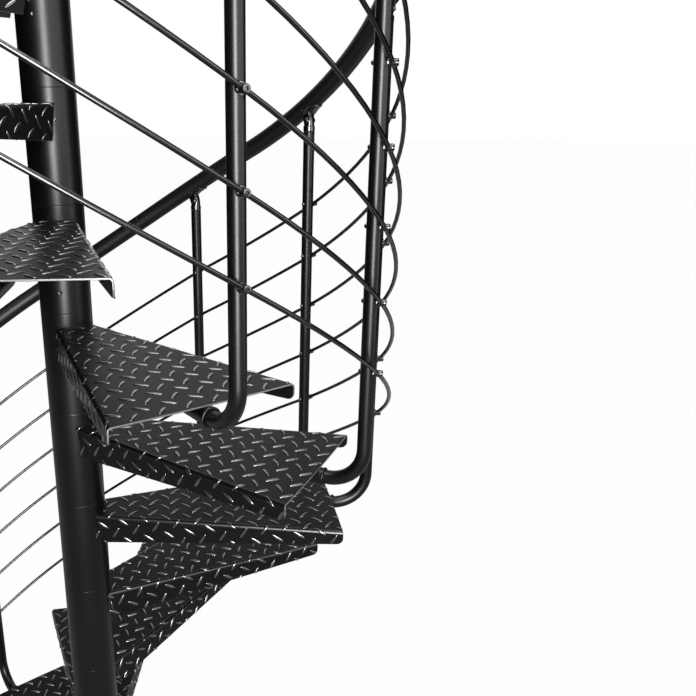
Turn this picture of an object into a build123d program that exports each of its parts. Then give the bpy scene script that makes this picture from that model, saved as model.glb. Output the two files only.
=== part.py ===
from build123d import *
import math
import os

# Spiral staircase, clockwise going up, in millimetres.
# Origin: centre of the base plate's underside. +Z up. The landing's free edges run along -X and +Y.

# Flight
riser = 215.9
treadCount = 12
stepAngle = 30.8
lastTreadAngle = -165.0
# One tread hangs a little behind its even place
lateTread = 4
lateTurn = 1.8

# Column: an inner post inside stacked hub sleeves
postOuterR = 44.45
postWall = 4.0
sleeveOuterR = 50.8
sleeveGap = 0.6
seamAboveTread = 29.0

# Base plate
basePlateR = 150.0
basePlateT = 10.0
baseBoltCircle = 240.0
baseBoltCount = 4
baseBoltR = 7.0

# Tread: one sheet, folded down along both tapering sides
sheetT = 3.2
bendInnerR = 4.0
innerEndAt = 41.0
innerHalfWidth = 40.5
outerEndAt = 562.0
outerHalfWidth = 167.0
outerBulge = 2.5
lipDepthInner = 66.0
lipDepthOuter = 30.0
lipCornerR = 13.0

# Baluster, bent in under the tread into a socket tube
balusterR = 13.35
balusterCircle = 648.0
balusterBendR = 70.0
socketWall = 2.6
socketFit = 0.1
socketInnerAt = 470.0
socketProud = 10.0
socketWeld = 0.5
balusterInsert = 70.0

# Handrail and the brackets that carry it
railR = 21.1
railHeight = 1079.0
railOffset = 8.0
railOverhang = 60.0
railGap = 0.3
kneeBelowRail = 43.0
kneeAboveTube = 25.6
collarR = 13.75
collarLength = 13.0
neckR = 12.0
saddleT = 3.5
saddleLength = 60.0
saddleHalfWidth = 21.0
saddleSides = 12
saddleDownhill = 8.5

# Guard rods and the clamps that hold them on the balusters
rodCount = 6
rodR = 4.0
rodSides = 8
lowestRod = 200.5
rodSpacing = 127.7
rodStandOff = 0.5
rodOverhang = 14.0
rodFit = 0.3
rodGap = 0.4
clampR = 6.2
clampSides = 8
clampSeatSides = 16
clampProud = 4.6

# Landing
landingReach = 600.0
landingFrontOverlap = 17.0
landingSideAt = 41.0
flangeDepth = 70.0
flangeT = 6.0
flangeHoleR = 6.5
flangeHoleSpacing = 440.0
flangeHoleDrop = 42.0
landingBalusterFootR = 30.0
landingBalusterFootT = 6.0
landingPostInset = 40.0
landingPostSpacing = 260.0

# Top of the column
capT = 6.0
capDomeH = 12.0
capPlugDepth = 20.0
capPlugFit = 0.3

# Derived sizes
firstTreadAngle = lastTreadAngle + stepAngle * (treadCount - 1)
railCircle = balusterCircle + railOffset
sleeveInnerR = postOuterR + sleeveGap
seamZ = seamAboveTread
landingLevel = riser * (treadCount + 1)
railLevelOnLanding = landingLevel + railHeight
columnTop = railLevelOnLanding + railR + 10.0
taperAngle = math.degrees(math.atan2(outerHalfWidth - innerHalfWidth, outerEndAt - innerEndAt))
socketInnerR = balusterR + socketFit
socketOuterR = socketInnerR + socketWall
socketDrop = sheetT + socketOuterR - socketWeld
socketEndAt = outerEndAt + outerBulge + socketProud
rodCircle = balusterCircle + balusterR + rodStandOff + rodR
landingPosts = (landingReach - landingPostInset - landingPostSpacing, landingReach - landingPostInset)
balusterTop = railHeight - kneeBelowRail - kneeAboveTube
rodSlope = math.degrees(math.atan2(riser, rodCircle * math.radians(stepAngle)))
railSlope = math.degrees(math.atan2(riser, railCircle * math.radians(stepAngle)))
railPerStep = math.hypot(riser, railCircle * math.radians(stepAngle))
rodPerStep = math.hypot(riser, rodCircle * math.radians(stepAngle))


def treadAngle(step):
    # Between two treads the turn is even
    late = lateTurn * max(0, 1 - abs(step - lateTread))
    return firstTreadAngle - stepAngle * (step - 1) + late


def atStep(shape, step):
    return Pos(0, 0, riser * step) * Rot(0, 0, treadAngle(step)) * shape


def helixPoint(radius, step, height):
    a = math.radians(treadAngle(step))
    return Vector(radius * math.cos(a), radius * math.sin(a), riser * step + height)


def helixArc(radius, height, fromStep, toStep):
    # One circular arc through three points of the helix, true to it within a tenth of a millimetre
    middle = (fromStep + toStep) / 2
    return ThreePointArc(
        helixPoint(radius, fromStep, height),
        helixPoint(radius, middle, height),
        helixPoint(radius, toStep, height),
    )


def tubeAlong(path, section):
    start = path @ 0
    outward = Vector(start.X, start.Y, 0).normalized()
    plane = Plane(origin=start, x_dir=outward, z_dir=path % 0)
    return sweep(plane * section, path=path)


def ring(outerR, innerR, fromZ, toZ):
    shell = Cylinder(outerR, toZ - fromZ, align=(Align.CENTER, Align.CENTER, Align.MIN))
    shell -= Cylinder(innerR, toZ - fromZ, align=(Align.CENTER, Align.CENTER, Align.MIN))
    return Pos(0, 0, fromZ) * shell


def sleeve(fromZ, toZ):
    return ring(sleeveOuterR, sleeveInnerR, fromZ, toZ)


# Base plate with its collar
def basePlate():
    plate = Cylinder(basePlateR, basePlateT, align=(Align.CENTER, Align.CENTER, Align.MIN))
    plate = chamfer(plate.edges().group_by(Axis.Z)[-1], 1.5)
    hole = Cylinder(baseBoltR, basePlateT * 3)
    plate -= [loc * hole for loc in PolarLocations(baseBoltCircle / 2, baseBoltCount, start_angle=45)]
    return plate + sleeve(basePlateT, seamZ)


def centrePost():
    return ring(postOuterR, postOuterR - postWall, basePlateT, columnTop)


def postCap():
    disc = Cylinder(sleeveOuterR, capT, align=(Align.CENTER, Align.CENTER, Align.MIN))
    domeR = (sleeveOuterR ** 2 + capDomeH ** 2) / (2 * capDomeH)
    dome = Pos(0, 0, capT + capDomeH - domeR) * Sphere(domeR)
    dome &= Pos(0, 0, capT) * Cylinder(sleeveOuterR, capDomeH, align=(Align.CENTER, Align.CENTER, Align.MIN))
    plugR = postOuterR - postWall - capPlugFit
    plug = Cylinder(plugR, capPlugDepth, align=(Align.CENTER, Align.CENTER, Align.MAX))
    return Pos(0, 0, columnTop) * (disc + dome + plug)


# Tread, drawn along +X with its top face at Z = 0
def treadPlan():
    outerArc = ThreePointArc(
        (outerEndAt, -outerHalfWidth), (outerEndAt + outerBulge, 0), (outerEndAt, outerHalfWidth)
    )
    sides = Polyline(
        (outerEndAt, outerHalfWidth), (innerEndAt, innerHalfWidth),
        (innerEndAt, -innerHalfWidth), (outerEndAt, -outerHalfWidth)
    )
    return make_face([outerArc, sides])


def insidePlan():
    # The same wedge one sheet thickness further in, run past both ends
    slope = math.tan(math.radians(taperAngle))
    inset = sheetT / math.cos(math.radians(taperAngle))
    past = lipDepthInner
    inner = innerHalfWidth - inset - past * slope
    outer = outerHalfWidth - inset + past * slope
    corners = [(innerEndAt - past, inner), (outerEndAt + past, outer)]
    mirrored = [(x, -y) for x, y in reversed(corners)]
    return make_face(Polyline(*corners, *mirrored, close=True))


def roundSides(block, radius):
    # Rounds the two long top edges, where the sheet is folded
    top = block.edges().group_by(Axis.Z)[-1].filter_by(GeomType.LINE)
    return fillet(top.filter_by(lambda e: abs((e % 0.5).X) > 0.5), radius)


def lipProfile():
    # Side view of what is kept: the blank's square cut leans outwards once its lip is turned down
    lean = lipDepthInner * math.sin(math.radians(taperAngle))
    clear = outerBulge + 1
    outline = Polyline(
        (innerEndAt, 1), (innerEndAt, 0), (innerEndAt + lean, -lipDepthInner), (outerEndAt, -lipDepthOuter),
        (outerEndAt, -sheetT), (outerEndAt + clear, -sheetT), (outerEndAt + clear, 1), close=True
    )
    face = make_face(outline)
    corner = face.vertices().sort_by_distance((outerEndAt, -lipDepthOuter, 0))[0]
    return fillet(corner, lipCornerR)


def treadSheet():
    outside = roundSides(extrude(treadPlan(), -lipDepthInner), bendInnerR + sheetT)
    inside = roundSides(extrude(insidePlan(), -lipDepthInner), bendInnerR)
    kept = extrude(Plane.XZ * lipProfile(), outerHalfWidth + 1, both=True)
    return (outside - Pos(0, 0, -sheetT) * inside) & kept


def socket():
    tube = Cylinder(socketOuterR, socketEndAt - socketInnerAt)
    tube -= Cylinder(socketInnerR, socketEndAt - socketInnerAt)
    return Pos((socketEndAt + socketInnerAt) / 2, 0, -socketDrop) * Rot(0, 90, 0) * tube


def tread():
    seat = Cylinder((sleeveOuterR + sleeveInnerR) / 2, riser * 2)
    return (treadSheet() - seat) + sleeve(seamZ - riser, seamZ) + socket()


# Baluster, drawn in the plane Y = 0 at its tread
def baluster():
    path = FilletPolyline(
        (balusterCircle, 0, balusterTop),
        (balusterCircle, 0, -socketDrop),
        (socketEndAt - balusterInsert, 0, -socketDrop),
        radius=balusterBendR,
    )
    return sweep(Plane(origin=path @ 0, z_dir=path % 0) * Circle(balusterR), path=path)


# Handrail: an arc for each baluster, meeting half way between them
def railReach(step):
    share = railGap / 2 / railPerStep
    fromStep = step - 0.5 + share if step > 1 else 1 - railOverhang / railPerStep
    toStep = step + 0.5 - share if step < treadCount else treadCount + railOverhang / railPerStep
    return fromStep, toStep


def railPath(step):
    fromStep, toStep = railReach(step)
    return helixArc(railCircle, railHeight, fromStep, toStep)


def handrailArc(step):
    return tubeAlong(railPath(step), Circle(railR))


# Bracket: collar on the tube, a neck that turns square to the rail at its knee, a leaf-shaped saddle
def bracketStem(slope, outward):
    # Drawn with the knee at the origin, downhill towards +Y
    tubeEnd = -kneeAboveTube
    collarEnd = tubeEnd + collarLength
    collar = Pos(0, 0, tubeEnd + collarLength / 2) * Cylinder(collarR, collarLength)
    lean = math.radians(slope)
    neckLength = kneeBelowRail * math.cos(lean)
    onRail = (outward, neckLength * math.sin(lean), neckLength * math.cos(lean))
    path = Polyline((0, 0, collarEnd), (0, 0, 0), onRail) if slope else Line((0, 0, collarEnd), onRail)
    return collar + sweep(Pos(0, 0, collarEnd) * Circle(neckR), path=path, transition=Transition.RIGHT)


def leaf(middle, alongRail, acrossRail):
    # A prism down from the rail's axis
    plane = Plane(origin=middle, x_dir=alongRail, z_dir=acrossRail.cross(alongRail))
    turns = [2 * math.pi * i / saddleSides for i in range(saddleSides)]
    outline = [(saddleLength / 2 * math.cos(t), saddleHalfWidth * math.sin(t)) for t in turns]
    return extrude(plane * Polygon(*outline, align=None), railR * 2)


def railBracket(step):
    # The saddle follows the rail's own arc where it passes over the baluster
    path = railPath(step)
    fromStep, toStep = railReach(step)
    over = (step - fromStep) / (toStep - fromStep) - saddleDownhill / path.length
    half = saddleLength / path.length
    middle = path @ over
    outward = Vector(middle.X, middle.Y, 0).normalized()
    sleeveOnRail = tubeAlong(path.trim(over - half, over + half), Circle(railR + saddleT))
    saddle = sleeveOnRail & leaf(middle, path % over, outward)
    knee = Pos(balusterCircle, 0, railHeight - kneeBelowRail)
    stem = atStep(knee * bracketStem(railSlope, railOffset), step)
    return saddle + stem - tubeAlong(path, Circle(railR))


# Guard rods: one bar from clamp to clamp, its ends meeting inside the clamps
def rodBay(step, height):
    share = rodGap / 2 / rodPerStep
    fromStep = step + share if step > 1 else 1 - rodOverhang / rodPerStep
    toStep = step + 1 - share if step + 1 < treadCount else treadCount + rodOverhang / rodPerStep
    path = helixArc(rodCircle, height, fromStep, toStep)
    return tubeAlong(path, RegularPolygon(rodR, rodSides))


def clampBody(slope):
    # Drawn with its axis along +X, the baluster's axis at X = 0
    reach = balusterR + rodStandOff + 2 * rodR + clampProud
    body = Rot(0, 90, 0) * extrude(RegularPolygon(clampR, clampSides), reach)
    seat = RegularPolygon(balusterR, clampSeatSides, major_radius=False, rotation=180 / clampSeatSides)
    body -= extrude(seat, clampR * 2, both=True)
    bore = RegularPolygon(rodR + rodFit, rodSides, major_radius=False, rotation=180 / rodSides)
    alongRod = Pos(balusterR + rodStandOff + rodR, 0, 0) * Rot(90 - slope, 0, 0)
    return body - alongRod * extrude(bore, clampR * 4, both=True)


def rodClamp(step, height):
    return atStep(Pos(balusterCircle, 0, height) * clampBody(rodSlope), step)


# Landing: a square sheet with one corner round the column, folded down along its two free edges
def landingBlock(depth, inset, radius):
    # Reaches past the bolted edges by the same inset, so that the sheet keeps its thickness
    left = -landingReach - inset
    front = -landingFrontOverlap + inset
    right = landingSideAt - inset
    back = landingReach + inset
    block = Pos((left + right) / 2, (front + back) / 2, -depth / 2) * Box(right - left, back - front, depth)
    top = block.edges().group_by(Axis.Z)[-1]
    folds = top.group_by(Axis.Y)[0] + top.group_by(Axis.X)[-1]
    return fillet(folds, radius)


def flange(width):
    plate = Pos(0, -flangeT / 2, -flangeDepth / 2) * Box(width, flangeT, flangeDepth)
    drill = Rot(90, 0, 0) * Cylinder(flangeHoleR, flangeT * 4)
    holes = [Pos(x, 0, -flangeHoleDrop) * drill for x in (-flangeHoleSpacing / 2, flangeHoleSpacing / 2)]
    return plate - holes


def landing():
    width = landingReach + landingSideAt + flangeT
    depth = landingReach + landingFrontOverlap
    sheet = landingBlock(lipDepthInner, 0, bendInnerR + sheetT)
    sheet -= Pos(0, 0, -sheetT) * landingBlock(lipDepthInner, sheetT, bendInnerR)
    farFlange = Pos((landingSideAt - landingReach - flangeT) / 2, landingReach + flangeT, 0) * flange(width)
    sideMiddle = (landingReach - landingFrontOverlap) / 2
    sideFlange = Pos(-landingReach - flangeT, sideMiddle, 0) * Rot(0, 0, 90) * flange(depth)
    body = sheet + farFlange + sideFlange
    body -= Cylinder((sleeveOuterR + sleeveInnerR) / 2, riser * 2)
    return Pos(0, 0, landingLevel) * (body + sleeve(seamZ - riser, seamZ))


def topSleeve():
    return sleeve(landingLevel + seamZ, columnTop)


def landingBaluster(y):
    tube = Cylinder(balusterR, balusterTop, align=(Align.CENTER, Align.CENTER, Align.MIN))
    foot = Cylinder(landingBalusterFootR, landingBalusterFootT, align=(Align.CENTER, Align.CENTER, Align.MIN))
    return Pos(0, y, landingLevel) * (tube + foot)


def landingRail():
    start = sleeveOuterR + railGap
    length = landingPosts[-1] + railOverhang - start
    return Pos(0, start + length / 2, railLevelOnLanding) * Rot(90, 0, 0) * Cylinder(railR, length)


def landingRailBracket(y):
    alongRail = Pos(0, y, railLevelOnLanding) * Rot(90, 0, 0)
    sleeveOnRail = alongRail * Cylinder(railR + saddleT, saddleLength * 2)
    saddle = sleeveOnRail & leaf((0, y, railLevelOnLanding), Vector(0, 1, 0), Vector(-1, 0, 0))
    stem = Pos(0, y, railLevelOnLanding - kneeBelowRail) * bracketStem(0, 0)
    return saddle + stem - alongRail * Cylinder(railR, saddleLength * 2)


def landingRod(height):
    x = balusterR + rodStandOff + rodR
    start = math.sqrt(sleeveOuterR ** 2 - (x - rodR) ** 2) + railGap
    length = landingPosts[-1] + rodOverhang - start
    bar = Rot(90, 0, 0) * extrude(RegularPolygon(rodR, rodSides), length / 2, both=True)
    return Pos(x, start + length / 2, landingLevel + height) * bar


def landingClamp(y, height):
    return Pos(0, y, landingLevel + height) * clampBody(0)


rodHeights = [lowestRod + rodSpacing * i for i in range(rodCount)]
steps = range(1, treadCount + 1)

os.makedirs("parts", exist_ok=True)
export_step(basePlate(), "parts/base_plate.step")
export_step(centrePost(), "parts/center_post.step")
export_step(topSleeve(), "parts/top_sleeve.step")
export_step(postCap(), "parts/post_cap.step")

treadAtOrigin = tread()
balusterAtOrigin = baluster()
for step in steps:
    export_step(atStep(treadAtOrigin, step), f"parts/tread_{step:02d}.step")
    export_step(atStep(balusterAtOrigin, step), f"parts/baluster_{step:02d}.step")

export_step(landing(), "parts/landing_platform.step")

railSections = 4
perSection = treadCount // railSections
for section in range(railSections):
    arcs = [handrailArc(section * perSection + i + 1) for i in range(perSection)]
    export_step(Compound(children=arcs), f"parts/handrail_{section + 1}.step")

brackets = [railBracket(step) for step in steps]
export_step(Compound(children=brackets), "parts/handrail_brackets.step")

for level, height in enumerate(rodHeights, 1):
    bars = [rodBay(step, height) for step in range(1, treadCount)]
    export_step(Compound(children=bars), f"parts/guard_rod_{level}.step")

clamps = [rodClamp(step, height) for step in steps for height in rodHeights]
export_step(Compound(children=clamps), "parts/rod_clamps.step")

export_step(Compound(children=[landingBaluster(y) for y in landingPosts]), "parts/landing_balusters.step")
export_step(landingRail(), "parts/landing_handrail.step")
export_step(
    Compound(children=[landingRailBracket(y) for y in landingPosts]), "parts/landing_brackets.step"
)
export_step(Compound(children=[landingRod(h) for h in rodHeights]), "parts/landing_rods.step")
landingClamps = [landingClamp(y, h) for y in landingPosts for h in rodHeights]
export_step(Compound(children=landingClamps), "parts/landing_clamps.step")
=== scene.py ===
import bmesh
import bpy
import math
import random
from mathutils import Matrix, Vector


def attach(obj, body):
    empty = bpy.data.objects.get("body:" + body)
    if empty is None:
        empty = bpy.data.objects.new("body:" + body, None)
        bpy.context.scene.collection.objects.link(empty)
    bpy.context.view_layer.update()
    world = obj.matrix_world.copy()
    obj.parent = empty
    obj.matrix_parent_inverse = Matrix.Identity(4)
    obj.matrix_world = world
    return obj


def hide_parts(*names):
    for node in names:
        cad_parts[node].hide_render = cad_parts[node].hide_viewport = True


# A black powder-coated spiral staircase. Sizes are millimetres until a mesh is made.
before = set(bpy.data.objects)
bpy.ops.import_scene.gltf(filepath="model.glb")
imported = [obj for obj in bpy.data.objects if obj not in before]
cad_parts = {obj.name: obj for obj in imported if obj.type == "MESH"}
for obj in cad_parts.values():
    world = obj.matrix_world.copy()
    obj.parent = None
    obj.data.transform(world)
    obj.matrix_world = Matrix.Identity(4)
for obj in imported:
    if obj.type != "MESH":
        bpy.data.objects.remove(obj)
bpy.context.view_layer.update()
random.seed(11)

mm = 0.001
metre = 1000.0

stair = {
    "riser": 215.9,
    "treads": 12,
    "turn": 30.8,            # degrees a step, clockwise going up
    "lastAngle": -165.0,     # where the highest tread points
    "lateTread": 4,          # this one hangs a little behind its even place
    "lateTurn": 1.8,
    "landingLevel": 2806.7,
    "postsOnLanding": (300.0, 560.0),    # along its open side
}
steps = range(1, stair["treads"] + 1)


# Places and paths

def placeAt(x, y, z):
    return Matrix.Translation((x * mm, y * mm, z * mm))


def treadAngle(step):
    late = stair["lateTurn"] * max(0, 1 - abs(step - stair["lateTread"]))
    first = stair["lastAngle"] + stair["turn"] * (stair["treads"] - 1)
    return math.radians(first - stair["turn"] * (step - 1) + late)


def onStep(step):
    return placeAt(0, 0, stair["riser"] * step) @ Matrix.Rotation(treadAngle(step), 4, "Z")


def onLanding(y=0.0, height=0.0):
    return placeAt(0, y, stair["landingLevel"] + height)


def helixPoint(radius, height, step):
    a = treadAngle(step)
    return Vector((radius * math.cos(a), radius * math.sin(a), stair["riser"] * step + height))


def arcThrough(a, b, c, count):
    # Even points on the circle through three points
    ab, ac = b - a, c - a
    axis = ab.cross(ac)
    toCentre = ac.length_squared * axis.cross(ab) + ab.length_squared * ac.cross(axis)
    centre = a + toCentre / (2 * axis.length_squared)
    u = (a - centre).normalized()
    v = axis.normalized().cross(u)
    radius = (a - centre).length
    sweepAngle = math.atan2((c - centre).dot(v), (c - centre).dot(u)) % (2 * math.pi)
    turns = [sweepAngle * i / count for i in range(count + 1)]
    return [centre + (u * math.cos(t) + v * math.sin(t)) * radius for t in turns]


def helixPath(circle, height, spans, segments):
    # The stair's bars are bent in arcs, one for each span of steps
    path = []
    for fromStep, toStep in spans:
        stations = (fromStep, (fromStep + toStep) / 2, toStep)
        arc = arcThrough(*[helixPoint(circle, height, s) for s in stations], segments)
        path += arc[(1 if path else 0):]
    return path


def turnsOf(sides):
    return [2 * math.pi * i / sides for i in range(sides)]


def quarterTurn(segments):
    return [math.pi / 2 * i / segments for i in range(segments + 1)]


# Meshes

class Shape:
    # Vertices and faces gathered in millimetres
    def __init__(self):
        self.points = []
        self.faces = []

    def add(self, points, faces):
        start = len(self.points)
        self.points += [Vector(p) for p in points]
        self.faces += [[start + i for i in face] for face in faces]

    def addPlaced(self, other, matrix):
        # The matrix is in metres, as the objects' places are
        self.add([(matrix @ (p * mm)) * metre for p in other.points], other.faces)


def loft(shape, rings, joined=False):
    # Rings of equally many points, each joined to the next. The last one is joined to the
    # first, which makes a wall, or else both ends are filled.
    count = len(rings[0])
    points = [p for ring in rings for p in ring]
    faces = []
    for r in range(len(rings) if joined else len(rings) - 1):
        near, far = r * count, (r + 1) % len(rings) * count
        for i in range(count):
            j = (i + 1) % count
            faces.append((near + i, near + j, far + j, far + i))
    if not joined:
        last = (len(rings) - 1) * count
        faces.append(tuple(reversed(range(count))))
        faces.append(tuple(range(last, last + count)))
    shape.add(points, faces)


def aroundZ(shape, profile, sides, joined=False):
    # Profile of (radius, height) pairs
    turns = turnsOf(sides)
    rings = [[(r * math.cos(t), r * math.sin(t), z) for t in turns] for r, z in profile]
    loft(shape, rings, joined)


def alongX(shape, profile, sides, z=0.0, joined=False):
    # Profile of (place, radius) pairs about an axis at the height z
    turns = turnsOf(sides)
    rings = [[(x, r * math.cos(t), z + r * math.sin(t)) for t in turns] for x, r in profile]
    loft(shape, rings, joined)


def easedEnd(end, following, radius, rounding):
    # A small bevel; the third ring keeps it out of the long faces' shading
    inward = (following - end).normalized() * rounding
    return [(end, radius - rounding), (end + inward, radius), (end + inward * 3, radius)]


def sweep(shape, path, radius, sides, endRounding):
    # A round bar along the path
    stations = easedEnd(path[0], path[1], radius, endRounding)
    stations += [(p, radius) for p in path[1:-1]]
    stations += reversed(easedEnd(path[-1], path[-2], radius, endRounding))
    points = [p for p, r in stations]
    rings = []
    side = None
    for i, (point, r) in enumerate(stations):
        ahead = (points[min(i + 1, len(points) - 1)] - points[max(i - 1, 0)]).normalized()
        side = (ahead.orthogonal() if side is None else side - ahead * side.dot(ahead)).normalized()
        other = ahead.cross(side)
        rings.append([point + (side * math.cos(t) + other * math.sin(t)) * r for t in turnsOf(sides)])
    loft(shape, rings)


def smoothed(mesh, sharpAngle):
    mesh.shade_smooth()
    mesh.set_sharp_from_angle(angle=math.radians(sharpAngle))


def makeMesh(name, shape, material, sharpAngle=38, closed=True):
    mesh = bpy.data.meshes.new(name)
    mesh.from_pydata([p * mm for p in shape.points], [], shape.faces)
    mesh.materials.append(material)
    if closed:
        # Faces outwards
        work = bmesh.new()
        work.from_mesh(mesh)
        bmesh.ops.recalc_face_normals(work, faces=work.faces)
        work.to_mesh(mesh)
        work.free()
    smoothed(mesh, sharpAngle)
    mesh.validate()
    mesh.update()
    return mesh


def newObject(name, data):
    thing = bpy.data.objects.new(name, data)
    bpy.context.scene.collection.objects.link(thing)
    return thing


def addPiece(name, mesh, place=None):
    piece = newObject(name, mesh)
    if place is not None:
        piece.matrix_world = place
    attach(piece, "root")
    return piece


def makePiece(name, shape, material, place=None, sharpAngle=38):
    return addPiece(name, makeMesh(name, shape, material, sharpAngle), place)


sharedMeshes = {}


def repeatPiece(kind, step, makeShape, material, place, sharpAngle=38):
    # The pieces of one kind share the mesh of the first
    name = f"{kind}_{step:02d}"
    if kind not in sharedMeshes:
        sharedMeshes[kind] = makeMesh(name, makeShape(), material, sharpAngle)
    return addPiece(name, sharedMeshes[kind], place)


def applied(source, modifiers):
    # The source's mesh with the modifiers run on it; the source itself goes
    for kind, settings in modifiers:
        modifier = source.modifiers.new(kind.lower(), kind)
        for key, value in settings.items():
            setattr(modifier, key, value)
    graph = bpy.context.evaluated_depsgraph_get()
    mesh = bpy.data.meshes.new_from_object(source.evaluated_get(graph))
    bpy.data.objects.remove(source)
    return mesh


# Materials

powder = {
    "ior": 1.5,              # polyester
    "coatRoughness": 0.22,
    "patchDetail": 3.0,
    "peelDetail": 2.0,
}


def srgb(hexText):
    channels = [int(hexText[i:i + 2], 16) / 255 for i in (1, 3, 5)]
    linear = [c / 12.92 if c <= 0.04045 else ((c + 0.055) / 1.055) ** 2.4 for c in channels]
    return (*linear, 1.0)


def addNode(tree, kind, settings=None, links=None):
    node = tree.nodes.new(kind)
    for key, value in (settings or {}).items():
        if isinstance(key, int) or key in node.inputs:
            node.inputs[key].default_value = value
        else:
            setattr(node, key, value)
    for key, source in (links or {}).items():
        tree.links.new(source, node.inputs[key])
    return node


def emptyTree(owner):
    owner.use_nodes = True
    owner.node_tree.nodes.clear()
    return owner.node_tree


def perMetre(size):
    return metre / size


def coatedMetal(name, look):
    # Polyester powder, sprayed on steel and baked: a closed film with a fine peel, drawn at its real 2
    # to 4 mm, and with patches that hands, shoes and the spray gun left a little duller. On the cut
    # edges the pale colour and its paler patches are painted highlight
    material = bpy.data.materials.new(name)
    tree = emptyTree(material)
    place = {"Vector": addNode(tree, "ShaderNodeTexCoord").outputs["Object"]}
    patches = addNode(tree, "ShaderNodeTexNoise", {
        "Scale": perMetre(look["patch"]), "Detail": powder["patchDetail"]}, place).outputs["Fac"]
    peel = addNode(tree, "ShaderNodeTexNoise", {
        "Scale": perMetre(look["peel"]), "Detail": powder["peelDetail"]}, place).outputs["Fac"]
    colour = addNode(tree, "ShaderNodeMix", {
        "data_type": "RGBA", 6: srgb(look["colour"]), 7: srgb(look["wornAndSheen"])}, {0: patches})
    gloss = addNode(tree, "ShaderNodeMapRange", {
        "To Min": look["roughness"] - look["unevenness"],
        "To Max": look["roughness"] + look["unevenness"]}, {"Value": patches})
    bump = addNode(tree, "ShaderNodeBump", {
        "Strength": 1.0, "Distance": look["peelDepth"] * mm}, {"Height": peel})
    shader = addNode(tree, "ShaderNodeBsdfPrincipled", {
        "IOR": powder["ior"], "Specular IOR Level": look["specular"],
        "Coat Weight": look.get("coat", 0.0), "Coat Roughness": powder["coatRoughness"]}, {
        "Base Color": colour.outputs[2], "Roughness": gloss.outputs["Result"],
        "Normal": bump.outputs["Normal"]})
    addNode(tree, "ShaderNodeOutputMaterial", {}, {"Surface": shader.outputs["BSDF"]})
    return material


# Flat of the plate, scuffed dull: one even near-black that shows no reflection
plateCoat = coatedMetal("powder_coat_satin_black_sprayed_on_chequer_plate", {
    "colour": "#1a1a1a", "wornAndSheen": "#212120", "roughness": 0.4, "unevenness": 0.06,
    "specular": 0.07, "patch": 90.0, "peel": 3.0, "peelDepth": 0.02})
# Tops of the bars, rubbed smooth by shoes: a bright glint along each bar that faces the light
lugCoat = coatedMetal("powder_coat_worn_glossy_on_the_raised_bars", {
    "colour": "#101010", "wornAndSheen": "#1c1c1b", "roughness": 0.26, "unevenness": 0.05,
    "specular": 1.0, "coat": 1.0, "patch": 25.0, "peel": 3.0, "peelDepth": 0.01})
# The powder flows thin and smooth round the bend: a narrow soft line along the tread's sides
foldCoat = coatedMetal("powder_coat_glossy_over_the_fold", {
    "colour": "#131313", "wornAndSheen": "#1b1b1a", "roughness": 0.3, "unevenness": 0.05,
    "specular": 0.4, "patch": 40.0, "peel": 3.0, "peelDepth": 0.01})
# Pale grey painted on the black coat's cut edges: a painted highlight, the line of light round the end
# of each tread
paintedHighlightEdgeCoat = coatedMetal("pale_grey_painted_highlight_on_the_cut_edges", {
    "colour": "#8a8a88", "wornAndSheen": "#b4b4b0", "roughness": 0.34, "unevenness": 0.08,
    "specular": 0.5, "patch": 30.0, "peel": 3.0, "peelDepth": 0.01})
# Smooth pipe: one soft upright highlight with a dark band on both sides of it
columnCoat = coatedMetal("powder_coat_satin_black_sprayed_on_pipe", {
    "colour": "#0c0c0c", "wornAndSheen": "#121211", "roughness": 0.34, "unevenness": 0.04,
    "specular": 0.2, "patch": 120.0, "peel": 3.5, "peelDepth": 0.015})
# Thinner tube, deeper black: the same highlight, narrower, and it follows the bend
tubeCoat = coatedMetal("powder_coat_gloss_black_sprayed_on_tube", {
    "colour": "#0a0a0a", "wornAndSheen": "#0f0f0f", "roughness": 0.34, "unevenness": 0.03,
    "specular": 0.2, "patch": 80.0, "peel": 4.0, "peelDepth": 0.01})
# The rail's coat is matted by hands: a broad dim sheen and hardly a highlight
railCoat = coatedMetal("powder_coat_matt_black_sprayed_on_rail", {
    "colour": "#0f0f0f", "wornAndSheen": "#161615", "roughness": 0.45, "unevenness": 0.04,
    "specular": 0.25, "patch": 150.0, "peel": 3.0, "peelDepth": 0.015})
# Cold-drawn bar under a wet-looking film: a hard bright thread of light on the near rods
rodCoat = coatedMetal("powder_coat_gloss_black_sprayed_on_bar", {
    "colour": "#060606", "wornAndSheen": "#0a0a0a", "roughness": 0.22, "unevenness": 0.03,
    "specular": 0.38, "patch": 60.0, "peel": 4.0, "peelDepth": 0.006})
# Tumbled castings, glossiest of all: small bright points on rims, screws and nuts
castCoat = coatedMetal("powder_coat_gloss_black_sprayed_on_castings", {
    "colour": "#0c0c0c", "wornAndSheen": "#141414", "roughness": 0.2, "unevenness": 0.04,
    "specular": 0.75, "patch": 20.0, "peel": 2.0, "peelDepth": 0.01})
# The same, less bright, for the screws in the sleeves and the landing's clamps
clampCoat = coatedMetal("powder_coat_satin_black_sprayed_on_castings", {
    "colour": "#0c0c0c", "wornAndSheen": "#141414", "roughness": 0.22, "unevenness": 0.05,
    "specular": 0.35, "patch": 20.0, "peel": 2.0, "peelDepth": 0.01})
print("materials made")


# Tread: one sheet folded down along both tapering sides

sheet = {
    "thickness": 3.2,
    "bendR": 7.2,            # outside of the fold
    "innerEnd": 41.0,
    "innerHalf": 40.5,
    "lipStart": 33.0,        # the lips run on to the hub
    "outerEnd": 562.0,
    "outerHalf": 167.0,
    "bulge": 2.5,            # of the outer end
    "bulgeSegments": 16,
    "lipInner": 66.0,
    "lipOuter": 30.0,
    "lipCorner": 13.0,
    "cornerSegments": 6,
    "foldSegments": 8,
    "edgeBevel": 0.7,
    "bevelledFrom": 50.0,    # degrees between two faces
}
taper = math.atan2(sheet["outerHalf"] - sheet["innerHalf"], sheet["outerEnd"] - sheet["innerEnd"])


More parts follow.
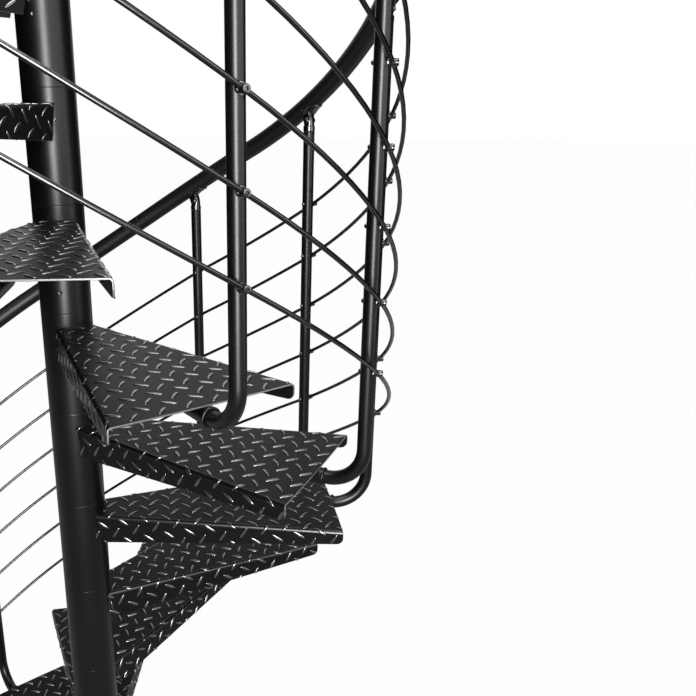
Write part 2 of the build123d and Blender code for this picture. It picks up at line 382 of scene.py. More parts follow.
class Fold:
    # A straight fold: everything past it in the outward direction is turned down by 90 degrees
    def __init__(self, start, outward):
        self.start = Vector(start)
        self.outward = Vector(outward).normalized()

    def past(self, x, y):
        return (Vector((x, y)) - self.start).dot(self.outward)


def folded(folds, x, y, height):
    # The flat blank's point (x, y), and a height over its face, on the folded sheet
    bendR = sheet["bendR"]
    flat = Vector((x, y))
    for fold in folds:
        d = fold.past(x, y)
        if d > 0:
            foot = flat - fold.outward * d
            turn = min(d / bendR, math.pi / 2)
            down = max(0, d - bendR * math.pi / 2)
            out = fold.outward * ((bendR + height) * math.sin(turn))
            drop = bendR - (bendR + height) * math.cos(turn) + down
            return Vector((foot.x + out.x, foot.y + out.y, -drop))
    return Vector((x, y, height))


def treadFold(side):
    outward = Vector((-math.sin(taper), side * math.cos(taper)))
    corner = Vector((sheet["innerEnd"], side * sheet["innerHalf"]))
    return Fold(corner - outward * sheet["bendR"], outward)


treadFolds = [treadFold(1), treadFold(-1)]


def lipDepth(x):
    share = (x - sheet["innerEnd"]) / (sheet["outerEnd"] - sheet["innerEnd"])
    return sheet["lipInner"] + (sheet["lipOuter"] - sheet["lipInner"]) * share


def lipEdge(fold, along):
    # The lip's lower edge, from its rounded outer corner to the hub
    corner = sheet["lipCorner"]
    edge = []
    for t in quarterTurn(sheet["cornerSegments"]):
        x = sheet["outerEnd"] - corner + corner * math.cos(t)
        edge.append((x, -lipDepth(x) + corner - corner * math.sin(t)))
    edge.append((sheet["lipStart"] + sheet["lipInner"] * math.sin(taper), -sheet["lipInner"]))
    top = fold.start + fold.outward * sheet["bendR"]
    return [Vector((x, top.y + (x - top.x) * along.y / along.x, z)) for x, z in edge]


def foldedSheet():
    # The outer face: two rows of fold strips, each with its lip, and a flat top
    shape = Shape()
    bendR = sheet["bendR"]
    topCorners = []
    for side, fold in zip((1, -1), treadFolds):
        along = Vector((math.cos(taper), side * math.sin(taper)))
        rows = []
        for turn in quarterTurn(sheet["foldSegments"]):
            out = fold.outward * (bendR * math.sin(turn))
            z = bendR * math.cos(turn) - bendR
            toHub = sheet["lipStart"] - fold.start.x - bendR * turn * fold.outward.x
            toEnd = sheet["outerEnd"] - fold.start.x - out.x
            start = fold.start + along * (toHub / along.x) + out
            end = fold.start + along * (toEnd / along.x) + out
            rows.append([Vector((start.x, start.y, z)), Vector((end.x, end.y, z))])
        topCorners.append(rows[0])
        points = [p for row in rows for p in row]
        faces = [(2 * i, 2 * i + 1, 2 * i + 3, 2 * i + 2) for i in range(sheet["foldSegments"])]
        lipFrom = len(points) - 2
        points += lipEdge(fold, along)
        faces.append(tuple(range(lipFrom, len(points))))
        if side < 0:
            faces = [tuple(reversed(f)) for f in faces]
        shape.add(points, faces)
    bulge = []
    for i in range(1, sheet["bulgeSegments"]):
        share = i / sheet["bulgeSegments"]
        end = topCorners[0][1].lerp(topCorners[1][1], share)
        bulge.append(Vector((end.x + sheet["bulge"] * (1 - (2 * share - 1) ** 2), end.y, 0)))
    top = topCorners[0] + bulge + topCorners[1][::-1]
    shape.add(top, [tuple(reversed(range(len(top))))])
    return shape


def treadSheet():
    # Solidify gives the face its thickness, and the rim the coat that follows the face's own
    mesh = makeMesh("tread_sheet_source", foldedSheet(), plateCoat, closed=False)
    # The rim slots take the pale grey painted highlight of the cut edges
    for coat in (paintedHighlightEdgeCoat, foldCoat, paintedHighlightEdgeCoat):
        mesh.materials.append(coat)
    foldIndex = 2
    facesPerSide = sheet["foldSegments"] + 1
    for side in (0, 1):
        for i in range(sheet["foldSegments"]):
            mesh.polygons[side * facesPerSide + i].material_index = foldIndex
    return applied(newObject("tread_sheet_source", mesh), [
        ("WELD", {"merge_threshold": 0.02 * mm}),
        ("SOLIDIFY", {"thickness": sheet["thickness"] * mm, "offset": -1.0,
                      "use_even_offset": True, "material_offset_rim": 1}),
        ("BEVEL", {"width": sheet["edgeBevel"] * mm, "segments": 2, "limit_method": "ANGLE",
                   "angle_limit": math.radians(sheet["bevelledFrom"]), "harden_normals": False}),
        ("WEIGHTED_NORMAL", {"keep_sharp": False}),
    ])


# Hub: the sleeve that the tread is welded to, with its bead and its set screw

hub = {
    "r": 50.8,
    "innerR": 45.05,
    "seam": 29.0,            # its top over the tread
    "rim": 0.6,
    "rimProfile": ((1.0, 0.0), (0.3, 0.3), (0.0, 1.0), (0.0, 2.5)),    # in from the face, up
    "sides": 96,
    "sharpAngle": 25,
    "screwHeight": -142.0,
    "screwHoleR": 4.4,
    "screwHoleDepth": 8.0,
    "screwHoleSides": 24,
}
bead = {
    "r": 2.4,
    "past": 0.03,            # radians past the lips
    "segments": 60,
    "sides": 8,
    "ripple": 1.9,           # the scales that the torch left
    "mean": 0.9,
    "rippleShare": 0.14,
    "unevenness": 0.06,
    "sharpAngle": 80,
}
screw = {
    "sunk": 1.1,             # below the sleeve's face
    "socketR": 1.9,
    "socketMouth": 1.25,
    "socketDepths": (0.3, 2.2),
    "profile": ((-3.0, 4.4), (-0.5, 4.2), (0.0, 3.7)),    # from its face, radius
    "sides": 24,
}


def hubSleeve():
    shape = Shape()
    low, high = hub["seam"] - stair["riser"], hub["seam"]
    lower = [(hub["r"] - hub["rim"] * a, low + hub["rim"] * b) for a, b in hub["rimProfile"]]
    upper = [(r, low + high - z) for r, z in reversed(lower)]
    profile = [(hub["innerR"], low)] + lower + upper + [(hub["innerR"], high)]
    aroundZ(shape, profile, hub["sides"], joined=True)
    return shape


def drilledSleeve():
    sleeve = newObject("hub_sleeve_source", makeMesh("hub_sleeve_source", hubSleeve(), columnCoat))
    shape = Shape()
    depth = hub["screwHoleDepth"]
    aroundZ(shape, [(hub["screwHoleR"], -depth), (hub["screwHoleR"], depth)], hub["screwHoleSides"])
    drill = newObject("hub_drill", makeMesh("hub_drill", shape, columnCoat))
    drill.matrix_world = placeAt(hub["r"], 0, hub["screwHeight"]) @ Matrix.Rotation(math.pi / 2, 4, "Y")
    bpy.context.view_layer.update()
    mesh = applied(sleeve, [
        ("BOOLEAN", {"operation": "DIFFERENCE", "object": drill, "solver": "EXACT"})])
    bpy.data.objects.remove(drill)
    smoothed(mesh, hub["sharpAngle"])
    return mesh


def hubBead():
    # Weld bead along the joint of the sheet's inner end with the sleeve
    shape = Shape()
    reach = math.acos(sheet["lipStart"] / hub["r"]) + bead["past"]
    path = []
    for i in range(bead["segments"] + 1):
        a = -reach + 2 * reach * i / bead["segments"]
        path.append(Vector((hub["r"] * math.cos(a), hub["r"] * math.sin(a), 0)))
    rings = []
    for i, point in enumerate(path):
        uneven = random.uniform(-bead["unevenness"], bead["unevenness"])
        r = bead["r"] * (bead["mean"] + bead["rippleShare"] * math.sin(i * bead["ripple"]) + uneven)
        ahead = (path[min(i + 1, len(path) - 1)] - path[max(i - 1, 0)]).normalized()
        side = ahead.cross(Vector((0, 0, 1))).normalized()
        up = side.cross(ahead)
        turns = turnsOf(bead["sides"])
        rings.append([point + (side * math.cos(t) + up * math.sin(t)) * r for t in turns])
    loft(shape, rings)
    return shape


def setScrew():
    # Hexagon socket set screw, drawn along +X
    shape = Shape()
    face, socketR = hub["r"] - screw["sunk"], screw["socketR"]
    sixth = math.pi / 3
    turns = turnsOf(screw["sides"])
    rings = []
    for x, r in (*screw["profile"], (0.0, socketR * screw["socketMouth"])):
        rings.append([(face + x, r * math.cos(t), r * math.sin(t)) for t in turns])
    for depth in screw["socketDepths"]:
        ring = []
        for t in turns:
            r = socketR * math.cos(sixth / 2) / math.cos(t % sixth - sixth / 2)
            ring.append((face - depth, r * math.cos(t), r * math.sin(t)))
        rings.append(ring)
    loft(shape, rings)
    return shape


# Socket: tube under the sheet that the baluster slips into, its mouth rolled to a bead

socket = {
    "r": 16.05,
    "innerR": 13.5,
    "z": -18.75,
    "fromX": 470.0,
    "toX": 574.5,
    "mouth": ((-7.0, 0.0), (-4.4, 0.0), (-3.9, 0.7), (-2.9, 1.3), (-1.7, 1.4), (-0.6, 0.9),
              (0.0, 0.0), (0.1, -1.0)),               # from its end, over its radius
    "mouthInside": ((-0.2, 0.5), (-1.2, 0.0)),        # from its end, over the inner radius
    "sides": 40,
}


def socketTube():
    shape = Shape()
    outer, inner, end = socket["r"], socket["innerR"], socket["toX"]
    profile = [(socket["fromX"], inner), (socket["fromX"], outer)]
    profile += [(end + x, outer + over) for x, over in socket["mouth"]]
    profile += [(end + x, inner + over) for x, over in socket["mouthInside"]]
    alongX(shape, profile, socket["sides"], socket["z"], joined=True)
    return shape


# Raised bars of the chequer plate

lugs = {
    "pitch": 47.0,
    "angle": 45.0,
    "length": 31.0,
    "width": 6.8,
    "height": 1.8,
    "sunk": 0.1,             # foot in the plate
    "sections": 8,
    "sharpAngle": 75,
    "across": (-1.0, -0.88, -0.55, 0.0, 0.55, 0.88, 1.0),
    "tipWidth": 0.04,
    "widthPower": 0.6,       # 1 is a lens, less is blunter
    "tipHeight": 0.05,
    "heightPower": 0.45,
    "trials": 16,            # places along a bar where it's tested for sheet under it
    "fewest": 5,             # with fewer on the sheet there is no bar
    "intoHub": 2.0,
    "treadField": (20, 620, -240, 240),               # of the flat blank: X, then Y
    "measuredTread": 8,      # the lattice of this one is placed, the others' fall at random
    "measuredPhase": (6.0, 1.0),
}


def onTreadSheet(point):
    # Whether a folded point is inside the sheet's outline
    bulge = sheet["bulge"] * (1 - (point.y / sheet["outerHalf"]) ** 2)
    if point.z > -sheet["bendR"]:
        return point.x < sheet["outerEnd"] + bulge and point.xy.length > hub["r"] - lugs["intoHub"]
    room = lipDepth(point.x) + point.z
    if room < 0 or point.x > sheet["outerEnd"]:
        return False
    fromEnd = sheet["outerEnd"] - point.x
    corner = sheet["lipCorner"]
    if fromEnd < corner and room < corner:
        return math.hypot(corner - fromEnd, corner - room) < corner
    return True


def addLug(shape, folds, inside, x, y, angle):
    # A lens-shaped bar on the blank, cut off where the sheet ends
    half = lugs["length"] / 2
    along = Vector((math.cos(angle), math.sin(angle)))
    across = Vector((-along.y, along.x))
    good = []
    for i in range(lugs["trials"] + 1):
        t = 2 * i / lugs["trials"] - 1
        centre = Vector((x, y)) + along * (half * t)
        if inside(folded(folds, centre.x, centre.y, 0)):
            good.append(t)
    if len(good) < lugs["fewest"]:
        return
    low, high = good[0], good[-1]
    rings = []
    for i in range(lugs["sections"] + 1):
        t = low + (high - low) * i / lugs["sections"]
        body = max(0.0, 1 - t * t)
        width = lugs["width"] / 2 * max(lugs["tipWidth"], body ** lugs["widthPower"])
        height = lugs["height"] * max(lugs["tipHeight"], body ** lugs["heightPower"])
        ring = []
        for w in lugs["across"]:
            p = Vector((x, y)) + along * (half * t) + across * (width * w)
            ring.append(folded(folds, p.x, p.y, height * math.sqrt(1 - w * w) - lugs["sunk"]))
        rings.append(ring)
    loft(shape, rings)


def lugField(folds, inside, field, phase):
    # Bars on a square lattice, and bars the other way round at its middles
    shape = Shape()
    pitch, angle = lugs["pitch"], math.radians(lugs["angle"])
    fromX, toX, fromY, toY = field
    x = fromX - (fromX - phase[0]) % pitch
    while x < toX:
        y = fromY - (fromY - phase[1]) % pitch
        while y < toY:
            addLug(shape, folds, inside, x, y, angle)
            addLug(shape, folds, inside, x + pitch / 2, y + pitch / 2, -angle)
            y += pitch
        x += pitch
    return shape


sheetMesh = treadSheet()
sleeveMesh = drilledSleeve()
for step in steps:
    tag = f"{step:02d}"
    place = onStep(step)
    piece = addPiece(f"tread_sheet_{tag}", sheetMesh, place)
    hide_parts(f"tread_{tag}")
    if step == lugs["measuredTread"]:
        phase = lugs["measuredPhase"]
    else:
        phase = (random.uniform(0, lugs["pitch"]), random.uniform(0, lugs["pitch"]))
    field = lugField(treadFolds, onTreadSheet, lugs["treadField"], phase)
    makePiece(f"tread_lugs_{tag}", field, lugCoat, place, lugs["sharpAngle"])
    addPiece(f"hub_sleeve_{tag}", sleeveMesh, place)
    screwPlace = place @ placeAt(0, 0, hub["screwHeight"])
    repeatPiece("hub_screw", step, setScrew, clampCoat, screwPlace)
    repeatPiece("baluster_socket", step, socketTube, tubeCoat, place)
    repeatPiece("hub_bead", step, hubBead, plateCoat, place, bead["sharpAngle"])
print("treads made")


# Balusters: tube bent in under the tread

baluster = {
    "r": 13.35,
    "circle": 648.0,
    "bendR": 70.0,
    "bendSegments": 16,
    "straightEnd": 8.0,      # a ring this far over the bend keeps its shading out of the tube
    "innerEnd": 504.5,
    "top": 1010.4,
    "sides": 40,
    "endRounding": 0.6,
}


def balusterTube():
    shape = Shape()
    bend, x, z = baluster["bendR"], baluster["circle"], socket["z"]
    path = [Vector((x, 0, baluster["top"])), Vector((x, 0, z + bend + baluster["straightEnd"]))]
    for t in quarterTurn(baluster["bendSegments"]):
        path.append(Vector((x - bend + bend * math.cos(t), 0, z + bend - bend * math.sin(t))))
    path.append(Vector((baluster["innerEnd"], 0, z)))
    sweep(shape, path, baluster["r"], baluster["sides"], baluster["endRounding"])
    return shape


for step in steps:
    piece = repeatPiece("baluster_tube", step, balusterTube, tubeCoat,
                        onStep(step))
    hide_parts(f"baluster_{step:02d}")
print("balusters made")


# Handrail

rail = {
    "r": 21.1,
    "circle": 656.0,
    "height": 1079.0,
    "overhang": 60.0,
    "sections": 4,
    "sides": 56,
    "segments": 12,
    "endRounding": 0.7,
}
railPerStep = math.hypot(stair["riser"], rail["circle"] * math.radians(stair["turn"]))
perSection = stair["treads"] // rail["sections"]
railPast = rail["overhang"] / railPerStep
for section in range(rail["sections"]):
    spans = []
    for step in range(section * perSection + 1, (section + 1) * perSection + 1):
        spans.append((1 - railPast if step == 1 else step - 0.5,
                      step + railPast if step == stair["treads"] else step + 0.5))
    shape = Shape()
    path = helixPath(rail["circle"], rail["height"], spans, rail["segments"])
    sweep(shape, path, rail["r"], rail["sides"], rail["endRounding"])
    piece = makePiece(f"rail_tube_{section + 1}", shape, railCoat)
    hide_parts(f"handrail_{section + 1}")


# Guard rods

rods = {
    "count": 6,
    "r": 4.0,
    "lowest": 200.5,
    "spacing": 127.7,
    "circle": 665.85,
    "overhang": 14.0,
    "sides": 14,
    "segments": 10,
    "sharpAngle": 50,
    "endRounding": 0.6,
}
rodHeights = [rods["lowest"] + rods["spacing"] * i for i in range(rods["count"])]
rodPerStep = math.hypot(stair["riser"], rods["circle"] * math.radians(stair["turn"]))
rodPast = rods["overhang"] / rodPerStep
rodSpans = []
for step in range(1, stair["treads"]):
    rodSpans.append((1 - rodPast if step == 1 else step,
                     step + 1 + (rodPast if step + 1 == stair["treads"] else 0)))
for level, height in enumerate(rodHeights, 1):
    shape = Shape()
    path = helixPath(rods["circle"], height, rodSpans, rods["segments"])
    sweep(shape, path, rods["r"], rods["sides"], rods["endRounding"])
    piece = makePiece(f"rod_{level}", shape, rodCoat, sharpAngle=rods["sharpAngle"])
    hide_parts(f"guard_rod_{level}")
print("rail and rods made")


# Handrail bracket: collar on the tube, neck with its pivot screw, leaf under the rail

bracket = {
    "kneeBelowRail": 43.0,
    "kneeAboveTube": 25.6,
    "collar": ((12.8, -0.3), (13.2, 0.2), (13.75, 1.0), (13.75, 3.0), (13.75, 10.5),
               (13.75, 11.8), (13.25, 12.8), (11.85, 13.3)),    # radius, over the tube's top
    "collarSides": 36,
    "neckFrom": 12.8,        # over the tube's top
    "neckBend": 1.5,
    "neckIntoRail": 1.5,
    "neckHalf": 12.0,
    "neckDepth": 10.6,
    "neckFlatness": 0.4,
    "neckFlare": 0.12,
    "neckSegments": 12,
    "neckSides": 32,
    "leafHalf": 30.0,
    "leafWidth": 21.0,
    "leafDownhill": 8.5,
    "leafTip": 0.06,
    "leafIntoRail": 0.4,
    "leafSegments": 24,
    "leafInside": 8,
    "leafOutside": ((1.0, 0.55), (0.985, 0.88), (0.94, 1.0), (0.8, 1.0), (0.55, 1.0),
                    (0.28, 1.0), (0.0, 1.0)),         # parts of its half width and of its rim
    "rimT": 2.6,
    "middleT": 7.0,
    "middleLength": 15.0,
    "boss": ((7.4, -2.0), (7.4, 1.1), (6.882, 1.8), (5.772, 1.9)),
    "bossSides": 28,
    "bossFace": 1.7,         # where the screw and the nut sit
    "screwR": 4.9,
    "screwHeight": 2.4,
    "nut": ((5.2, 0.0), (5.2, 2.6), (4.5, 3.2), (2.4, 3.2), (2.3, 1.5)),
    "smallScrewR": 3.0,
    "smallScrewHeight": 1.8,
    "smallScrewOut": 3.6,
    "smallScrewAlong": 0.45,
    "smallScrewFacing": (-0.72, 0.25, -0.66),
}
head = {
    "straight": 0.25,        # part of its height under the dome
    "segments": 8,
    "sides": 24,
}


def screwHead(radius, height):
    # Domed head, its face towards +Z
    shape = Shape()
    straight = head["straight"]
    profile = [(radius, 0), (radius, height * straight)]
    for t in quarterTurn(head["segments"])[1:-1]:
        profile.append((radius * math.cos(t), height * (straight + (1 - straight) * math.sin(t))))
    aroundZ(shape, profile, head["sides"])
    return shape


def facing(position, direction):
    turned = direction.to_track_quat("Z", "Y").to_matrix().to_4x4()
    return Matrix.Translation(position * mm) @ turned


def rootPart(value, power):
    return math.copysign(abs(value) ** power, value)


def addCollarAndNeck(shape, slope, outward):
    low = -bracket["kneeAboveTube"]
    aroundZ(shape, [(r, low + z) for r, z in bracket["collar"]], bracket["collarSides"])
    straight, up = bracket["kneeBelowRail"], math.cos(slope)
    foot = Vector((outward, straight * math.sin(slope) * up, straight * up ** 2))
    end = foot.normalized() * (foot.length - rail["r"] + bracket["neckIntoRail"])
    start, bend = Vector((0, 0, low + bracket["neckFrom"])), Vector((0, 0, bracket["neckBend"]))
    half, depth = bracket["neckHalf"], bracket["neckDepth"]
    turns = turnsOf(bracket["neckSides"])
    rings = []
    for i in range(bracket["neckSegments"] + 1):
        t = i / bracket["neckSegments"]
        point = start * (1 - t) ** 2 + bend * (2 * t * (1 - t)) + end * t * t
        ahead = ((bend - start) * (1 - t) + (end - bend) * t).normalized()
        side = (Vector((1, 0, 0)) - ahead * ahead.x).normalized()
        other = ahead.cross(side)
        # Round at the collar, flat-sided from a third of the way, where the screws are
        flat = min(1, 3 * t)
        power = 1 - bracket["neckFlatness"] * flat
        deep = half + (depth - half) * flat
        wide = half * (1 + bracket["neckFlare"] * t * t)
        rings.append([point + side * (deep * rootPart(math.cos(a), power))
                      + other * (wide * rootPart(math.sin(a), power)) for a in turns])
    loft(shape, rings)


def addLeaf(shape, railAt, middle, neckAt):
    # It hugs the rail, thick at the neck and thin at its tips
    railR, rimT = rail["r"], bracket["rimT"]
    inside = [2 * k / bracket["leafInside"] - 1 for k in range(bracket["leafInside"] + 1)]
    outside = bracket["leafOutside"]
    outside += tuple((-share, rim) for share, rim in reversed(outside[:-1]))
    rings = []
    for i in range(bracket["leafSegments"] + 1):
        u = math.cos(math.pi * (1 - i / bracket["leafSegments"]))
        d = middle + bracket["leafHalf"] * u
        centre, downhill = railAt(d), (railAt(d + 1) - railAt(d - 1)).normalized()
        across = (Vector((1, 0, 0)) - downhill * downhill.x).normalized()
        below = across.cross(downhill)
        below = below if below.z < 0 else -below
        width = bracket["leafWidth"] * max(bracket["leafTip"], math.sqrt(max(0, 1 - u * u)))
        spread = math.asin(width / (railR + rimT))
        extra = (bracket["middleT"] - rimT) * math.exp(-((d - neckAt) / bracket["middleLength"]) ** 2)
        around = [(share, railR - bracket["leafIntoRail"]) for share in inside]
        around += [(share, railR + rimT * rim + extra * (1 - share * share)) for share, rim in outside]
        ring = []
        for share, out in around:
            a = spread * share
            ring.append(centre + (across * math.sin(a) + below * math.cos(a)) * out)
        rings.append(ring)
    loft(shape, rings)


def addPivot(shape):
    # A raised boss with its screw on the near side, a nut on the far side
    inward, depth = Vector((-1, 0, 0)), bracket["neckDepth"]
    out = depth + bracket["bossFace"]
    boss, nut = Shape(), Shape()
    aroundZ(boss, bracket["boss"], bracket["bossSides"])
    aroundZ(nut, bracket["nut"], 6)
    shape.addPlaced(boss, facing(inward * depth, inward))
    shape.addPlaced(boss, facing(-inward * depth, -inward))
    shape.addPlaced(screwHead(bracket["screwR"], bracket["screwHeight"]), facing(inward * out, inward))
    shape.addPlaced(nut, facing(-inward * out, -inward))


def bracketShape(slope, outward, railAt, leafMiddle):
    # Drawn with the knee at the origin, downhill towards +Y
    shape = Shape()
    neckAt = bracket["kneeBelowRail"] * math.sin(slope)
    addCollarAndNeck(shape, slope, outward)
    addLeaf(shape, railAt, leafMiddle, neckAt)
    addPivot(shape)
    # The small screw holds the leaf on the rail
    over = railAt(neckAt * bracket["smallScrewAlong"])
    towards = Vector(bracket["smallScrewFacing"]).normalized()
    foot = over + towards * (rail["r"] + bracket["smallScrewOut"])
    smallScrew = screwHead(bracket["smallScrewR"], bracket["smallScrewHeight"])
    shape.addPlaced(smallScrew, facing(foot, towards))
    return shape


def railOverStep(d):
    # The rail's axis d mm downhill of the baluster, from the knee
    a = math.radians(stair["turn"]) * d / railPerStep
    return Vector((rail["circle"] * math.cos(a) - baluster["circle"], rail["circle"] * math.sin(a),
                   bracket["kneeBelowRail"] - stair["riser"] * d / railPerStep))


def railOverPost(d):
    return Vector((0, d, bracket["kneeBelowRail"]))


railSlope = math.asin(stair["riser"] / railPerStep)
kneeHeight = rail["height"] - bracket["kneeBelowRail"]
outward = rail["circle"] - baluster["circle"]
onStair = bracketShape(railSlope, outward, railOverStep, bracket["leafDownhill"])
onPost = bracketShape(0, 0, railOverPost, 0)
stairBrackets, postBrackets = Shape(), Shape()
for step in steps:
    stairBrackets.addPlaced(onStair, onStep(step) @ placeAt(baluster["circle"], 0, kneeHeight))
for y in stair["postsOnLanding"]:
    postBrackets.addPlaced(onPost, onLanding(y, kneeHeight))
piece = makePiece("bracket_castings", stairBrackets, castCoat)
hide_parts("handrail_brackets")
piece = makePiece("landing_bracket_castings", postBrackets, castCoat)
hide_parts("landing_brackets")
print("brackets made")


# Rod clamp: a button with a hollow for the key outside the tube, a dome nut inside it

clamp = {
    "r": 6.25,
    "reach": 26.45,          # from the tube's axis
    "rim": 1.0,
    "rimShare": 0.3,
    "intoTube": 1.0,
    "hollow": ((0.0, 2.6), (-0.4, 2.3), (-2.6, 2.2), (-2.7, 0.1)),    # from its face, radius
    "saddleR": 8.6,
    "saddle": ((-0.4, 1.0), (1.5, 1.0), (2.0, 0.93)),  # over the tube, part of its radius
    "domeR": 4.3,
    "domeH": 3.6,
    "domeFoot": 0.6,
    "domeSegments": 6,
    "domeSides": 16,
    "sides": 24,
}


def clampShape():
    # Drawn along +X from the tube's axis
    shape = Shape()
    r, reach, rim = clamp["r"], clamp["reach"], clamp["rim"]
    eased = rim * clamp["rimShare"]
    tubeR = baluster["r"]
    button = [(tubeR - clamp["intoTube"], r), (reach - rim, r)]
    button += [(reach - eased, r - eased), (reach, r - rim)]
    button += [(reach + x, hollowR) for x, hollowR in clamp["hollow"]]
    alongX(shape, button, clamp["sides"])
    # The saddle hugs the tube
    rings = []
    for over, share in clamp["saddle"]:
        out, saddleR = tubeR + over, clamp["saddleR"] * share
        ring = []
        for a in turnsOf(clamp["sides"]):
            y = saddleR * math.cos(a)
            ring.append((math.sqrt(out * out - y * y), y, saddleR * math.sin(a)))
        rings.append(ring)
    loft(shape, rings)
    # The dome nut
    foot, domeR = clamp["domeFoot"], clamp["domeR"]
    dome = [(-tubeR + foot, domeR), (-tubeR - foot, domeR)]
    for t in quarterTurn(clamp["domeSegments"])[1:-1]:
        dome.append((-tubeR - foot - clamp["domeH"] * math.sin(t), domeR * math.cos(t)))
    alongX(shape, dome, clamp["domeSides"])
    return shape


oneClamp = clampShape()
clamps = Shape()
for step in steps:
    for height in rodHeights:
        clamps.addPlaced(oneClamp, onStep(step) @ placeAt(baluster["circle"], 0, height))
piece = makePiece("clamps", clamps, castCoat)
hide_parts("rod_clamps")
print("clamps made")


# Landing: the same bars on its plate

landingBars = {
    "x": (-592, 34),
    "y": (-10, 592),
    "columnClear": 54,
    "postClear": 33,
    "field": (-590, 40, -15, 600),
    "phase": (11.0, 7.0),
}


def onLandingTop(point):
    (lowX, highX), (lowY, highY) = landingBars["x"], landingBars["y"]
    if not (lowX < point.x < highX and lowY < point.y < highY):
        return False
    if point.xy.length < landingBars["columnClear"]:
        return False
    fromPosts = [math.hypot(point.x, point.y - y) for y in stair["postsOnLanding"]]
    return min(fromPosts) > landingBars["postClear"]


landingLugs = lugField([], onLandingTop, landingBars["field"], landingBars["phase"])
makePiece("landing_lugs", landingLugs, lugCoat, onLanding(), lugs["sharpAngle"])
print("landing made")


# Carried-over nodes

nodeLooks = {
    "base_plate": plateCoat,
    "center_post": columnCoat,
    "top_sleeve": columnCoat,
    "post_cap": columnCoat,
    "landing_platform": plateCoat,
    "landing_balusters": tubeCoat,
    "landing_handrail": railCoat,
    "landing_rods": rodCoat,
    "landing_clamps": clampCoat,
}
for nodeName, material in nodeLooks.items():
    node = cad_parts[nodeName]
    node.data.materials.clear()
    node.data.materials.append(material)


# Camera

view = {
    "turn": 13.59,                 # degrees from the part's frame to the picture's
    "place": (397.7, -1605.6),     # in the picture's frame
    "height": 2177.7,
    "pitch": 18.46,
    "lens": 41.58,
    "sensor": 36.0,
    "shiftX": 0.128,
    "shiftY": 0.019,
}


def fromPicture(x, y, z):
    # Picture's frame: X to the right, Y away from the camera
    turned = Matrix.Rotation(math.radians(view["turn"]), 3, "Z") @ Vector((x, y, 0))
    return (turned.x, turned.y, z)


def aimed(thing, position, target):
    thing.location = Vector(position) * mm
    direction = (Vector(target) - Vector(position)).normalized()
    thing.rotation_mode = "QUATERNION"
    thing.rotation_quaternion = direction.to_track_quat("-Z", "Y")


camera = newObject("camera", bpy.data.cameras.new("camera"))
cameraX, cameraY = view["place"]
drop = metre * math.tan(math.radians(view["pitch"]))
aimed(camera, fromPicture(cameraX, cameraY, view["height"]),
      fromPicture(cameraX, cameraY + metre, view["height"] - drop))
camera.data.lens = view["lens"]
camera.data.sensor_width = view["sensor"]
camera.data.shift_x = view["shiftX"]
camera.data.shift_y = view["shiftY"]
bpy.context.scene.camera = camera


# Studio, in the picture's frame

# Each light's place, its target, its width and height, and its radiance
lights = {
    "overhead": ((600, -300, 5600), (0, 0, 0), (2600, 2600), 1.6),
    "key": ((550, -2900, 2700), (100, 0, 2000), (700, 1600), 4.0),
}
# Strips that give the coats their highlights, without more light on the object
glossLights = {
    "front_strip": ((520, -2750, 2150), (100, 0, 2150), (900, 2000), 52.0),
    "top_strip": ((300, -700, 5200), (300, -700, 0), (3600, 2400), 10.0),
    "rod_strip": ((2350, -2100, 2550), (300, -600, 2200), (1900, 1500), 4.5),
    "side_strip": ((3000, -700, 2300), (300, 0, 2000), (900, 2600), 4.0),
}
backdrop = {
    "fill": 0.45,            # light from all round
    "floorHalf": 40.0 * metre,
    "floorGlow": 1.06,       # white in the picture, and no light on the object
    "floorGlowShare": 0.88,  # the rest is paint, where the shadow shows
    "cardLow": 1000,
    "cardTop": 5200,
    "cardLeft": ((-900, -3300), (-2300, -400), (-1500, 3200)),
    "cardRight": ((2300, -200), (1500, 3200)),
}


def softbox(name, place, target, size, radiance):
    lamp = bpy.data.lights.new(name, "AREA")
    lamp.shape = "RECTANGLE"
    lamp.size, lamp.size_y = size[0] * mm, size[1] * mm
    lamp.energy = radiance * math.pi * lamp.size * lamp.size_y
    thing = newObject(name, lamp)
    aimed(thing, fromPicture(*place), fromPicture(*target))
    return thing


for name, light in lights.items():
    softbox(name, *light)
for name, light in glossLights.items():
    softbox(name, *light).visible_diffuse = False

world = bpy.data.worlds.new("studio")
bpy.context.scene.world = world
tree = emptyTree(world)
rays = addNode(tree, "ShaderNodeLightPath")
seen = addNode(tree, "ShaderNodeMath", {"operation": "MAXIMUM"}, {
    0: rays.outputs["Is Camera Ray"], 1: rays.outputs["Is Transmission Ray"]})
seen = addNode(tree, "ShaderNodeMath", {"operation": "MAXIMUM"}, {
    0: seen.outputs[0], 1: rays.outputs["Is Glossy Ray"]})
fill = addNode(tree, "ShaderNodeBackground", {"Color": srgb("#ffffff"), "Strength": backdrop["fill"]})
white = addNode(tree, "ShaderNodeBackground", {"Color": srgb("#ffffff"), "Strength": 1.0})
mixed = addNode(tree, "ShaderNodeMixShader", {}, {
    0: seen.outputs[0], 1: fill.outputs[0], 2: white.outputs[0]})
addNode(tree, "ShaderNodeOutputWorld", {}, {"Surface": mixed.outputs[0]})

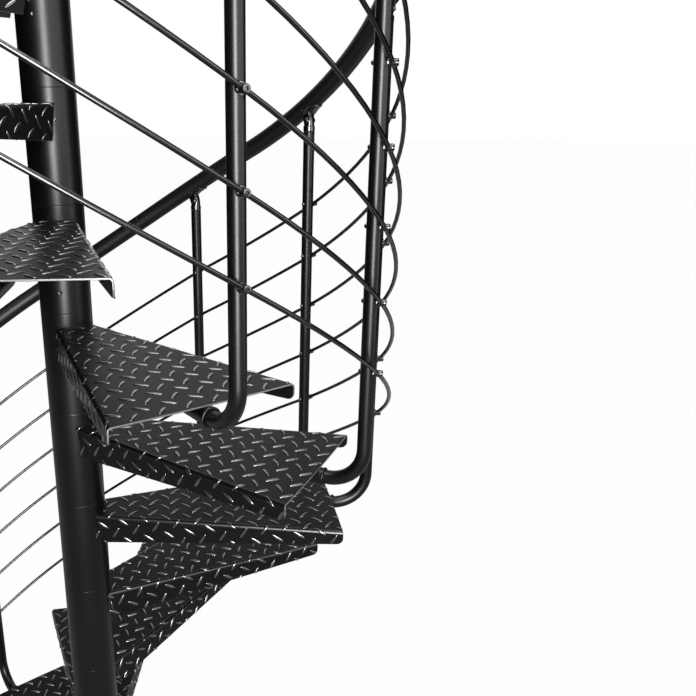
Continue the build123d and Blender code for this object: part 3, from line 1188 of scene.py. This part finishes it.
# Floor painted matt white: it takes the object's shadow and is lost in the white behind it
floorMaterial = bpy.data.materials.new("studio_floor_painted_white")
tree = emptyTree(floorMaterial)
rays = addNode(tree, "ShaderNodeLightPath")
paint = addNode(tree, "ShaderNodeBsdfDiffuse", {"Color": srgb("#f4f4f4")})
glow = addNode(tree, "ShaderNodeEmission", {
    "Color": srgb("#ffffff"), "Strength": backdrop["floorGlow"]})
seen = addNode(tree, "ShaderNodeMath", {
    "operation": "MULTIPLY", 1: backdrop["floorGlowShare"]}, {0: rays.outputs["Is Camera Ray"]})
mixed = addNode(tree, "ShaderNodeMixShader", {}, {
    0: seen.outputs[0], 1: paint.outputs[0], 2: glow.outputs[0]})
addNode(tree, "ShaderNodeOutputMaterial", {}, {"Surface": mixed.outputs[0]})

far = backdrop["floorHalf"] * mm
floorMesh = bpy.data.meshes.new("floor")
floorCorners = [(-far, -far, 0), (far, -far, 0), (far, far, 0), (-far, far, 0)]
floorMesh.from_pydata(floorCorners, [], [(0, 1, 2, 3)])
floorMesh.materials.append(floorMaterial)
floorPiece = newObject("floor", floorMesh)

# Black paper beside the object: it shows only in the gloss, as the dark edges of the tubes
cardMaterial = bpy.data.materials.new("studio_card_matt_black_paper")
tree = emptyTree(cardMaterial)
paper = addNode(tree, "ShaderNodeBsdfDiffuse", {"Color": srgb("#101010")})
addNode(tree, "ShaderNodeOutputMaterial", {}, {"Surface": paper.outputs[0]})


def blackCard(name, corners):
    heights = (backdrop["cardLow"], backdrop["cardTop"])
    points = [Vector(fromPicture(x, y, z)) * mm for x, y in corners for z in heights]
    faces = [(2 * i, 2 * i + 2, 2 * i + 3, 2 * i + 1) for i in range(len(corners) - 1)]
    mesh = bpy.data.meshes.new(name)
    mesh.from_pydata(points, [], faces)
    mesh.materials.append(cardMaterial)
    card = newObject(name, mesh)
    card.visible_camera = False
    card.visible_diffuse = False
    card.visible_shadow = False
    card.visible_transmission = False


blackCard("card_left", backdrop["cardLeft"])
blackCard("card_right", backdrop["cardRight"])

bpy.context.scene.view_settings.view_transform = "Standard"
print("studio made")
